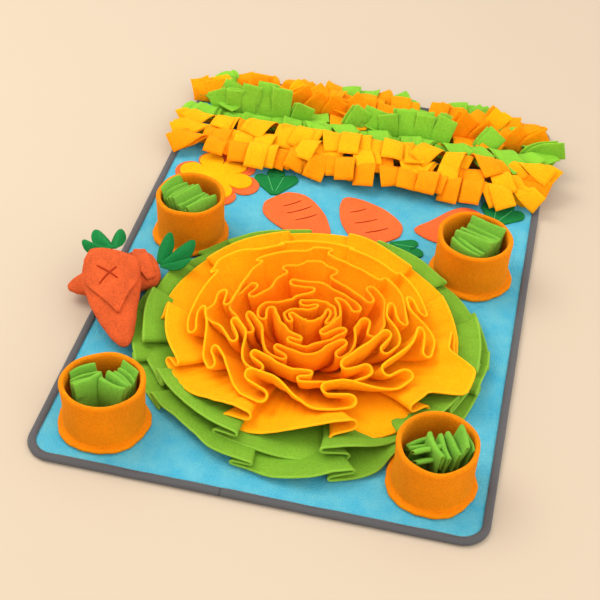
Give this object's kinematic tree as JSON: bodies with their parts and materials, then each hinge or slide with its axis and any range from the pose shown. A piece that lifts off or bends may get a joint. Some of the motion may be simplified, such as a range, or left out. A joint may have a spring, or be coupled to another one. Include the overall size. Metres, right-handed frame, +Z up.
{
  "type": "snuffle mat",
  "caption": "Pet foraging mat with a bound edge, a big ruffled fleece flower, strip-filled cloth cups, a band of cut fleece strips, sewn carrots and loose plush carrots.",
  "frame": {"origin": "middle of the mat's underside, on the floor", "axes": "+Z up out of the mat, +Y along its length towards the band of cut strips, +X across it to the right"},
  "size_m": [0.4879, 0.7124, 0.0722],
  "materials": {
    "blue_plush": "short-pile plush",
    "grey_binding": "woven binding tape",
    "green_fleece": "anti-pill fleece",
    "yellow_fleece": "anti-pill fleece",
    "amber_fleece": "anti-pill fleece",
    "orange_fleece": "anti-pill fleece",
    "cup_fleece": "thick fleece",
    "coral_felt": "brushed felt",
    "leaf_felt": "brushed felt",
    "carrot_plush": "plush"
  },
  "bodies": {
    "root": {"carrot_leaves_left": "leaf_felt", "carrot_leaves_middle": "leaf_felt", "carrot_leaves_right": "leaf_felt", "carrot_patch_left": "coral_felt", "carrot_patch_middle": "coral_felt", "carrot_patch_right": "coral_felt", "cup_back_left": "cup_fleece", "cup_back_right": "cup_fleece", "cup_front_left": "cup_fleece", "cup_front_right": "cup_fleece", "cup_strips_back_left_middle": "green_fleece", "cup_strips_back_right_middle": "green_fleece", "cup_strips_front_left_left": "green_fleece", "cup_strips_front_left_right": "green_fleece", "cup_strips_front_right_left": "green_fleece", "cup_strips_front_right_right": "green_fleece", "edge_binding": "grey_binding", "flower_patch_back": "coral_felt", "flower_patch_petals": "amber_fleece", "fringe_row_1": "amber_fleece", "fringe_row_2": "amber_fleece", "fringe_row_3": "yellow_fleece", "fringe_row_4": "green_fleece", "fringe_row_5": "green_fleece", "fringe_row_6": "orange_fleece", "fringe_row_7": "green_fleece", "mat_base": "blue_plush", "rose_core": "orange_fleece", "ruffle_amber": "amber_fleece", "ruffle_deep_orange": "orange_fleece", "ruffle_green_high": "green_fleece", "ruffle_green_low": "green_fleece", "ruffle_light_orange": "amber_fleece", "ruffle_orange": "orange_fleece", "ruffle_yellow": "yellow_fleece", "toy_front_body": "carrot_plush", "toy_front_flap": "carrot_plush", "toy_front_leaves": "leaf_felt", "toy_rear_body": "carrot_plush", "toy_rear_flap": "carrot_plush", "toy_rear_leaves": "leaf_felt"}
  },
  "joints": []
}
